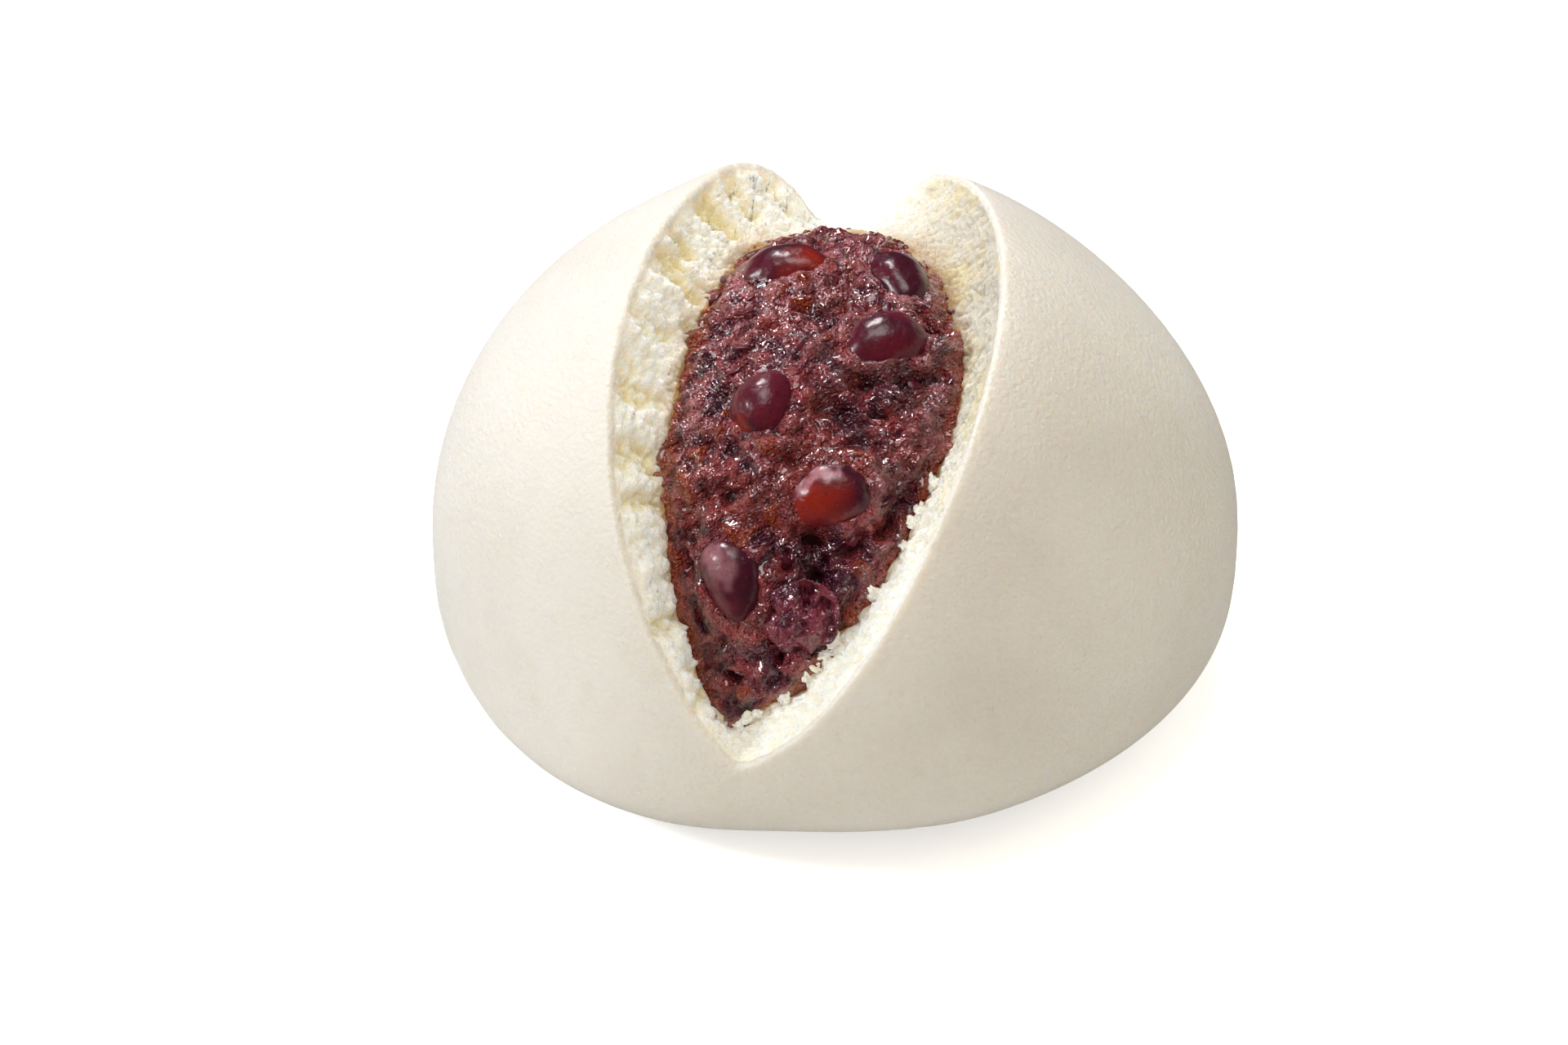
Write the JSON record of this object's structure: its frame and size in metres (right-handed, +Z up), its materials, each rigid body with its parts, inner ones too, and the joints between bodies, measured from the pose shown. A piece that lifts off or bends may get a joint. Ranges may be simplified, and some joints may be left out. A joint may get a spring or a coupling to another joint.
{
  "type": "red bean bun",
  "caption": "Round white steamed bun torn open over the top, showing its craggy crumb and a chunky sweet red bean paste with glossy whole beans.",
  "frame": {"origin": "middle of the flat base, on the surface the bun stands on", "axes": "+Z up; the tear's low end is towards -Y, turned 12 degrees to -X, and the tear runs over the top towards +Y; +X to the right, the bun's widest way"},
  "size_m": [0.0922, 0.088, 0.0582],
  "materials": {
    "steamed_dough": "smooth satin steamed skin outside, rough fluffy crumb in the tear",
    "bean_paste": "moist grainy paste with small wet glints",
    "bean_skin": "glossy wet bean skin, translucent red where thin"
  },
  "bodies": {
    "root": {"bun_dough": "steamed_dough", "red_bean_filling": "bean_paste", "red_bean_1": "bean_skin", "red_bean_2": "bean_skin", "red_bean_3": "bean_skin", "red_bean_4": "bean_skin", "red_bean_5": "bean_skin", "red_bean_6": "bean_skin", "bean_husk": "bean_skin"}
  },
  "joints": []
}
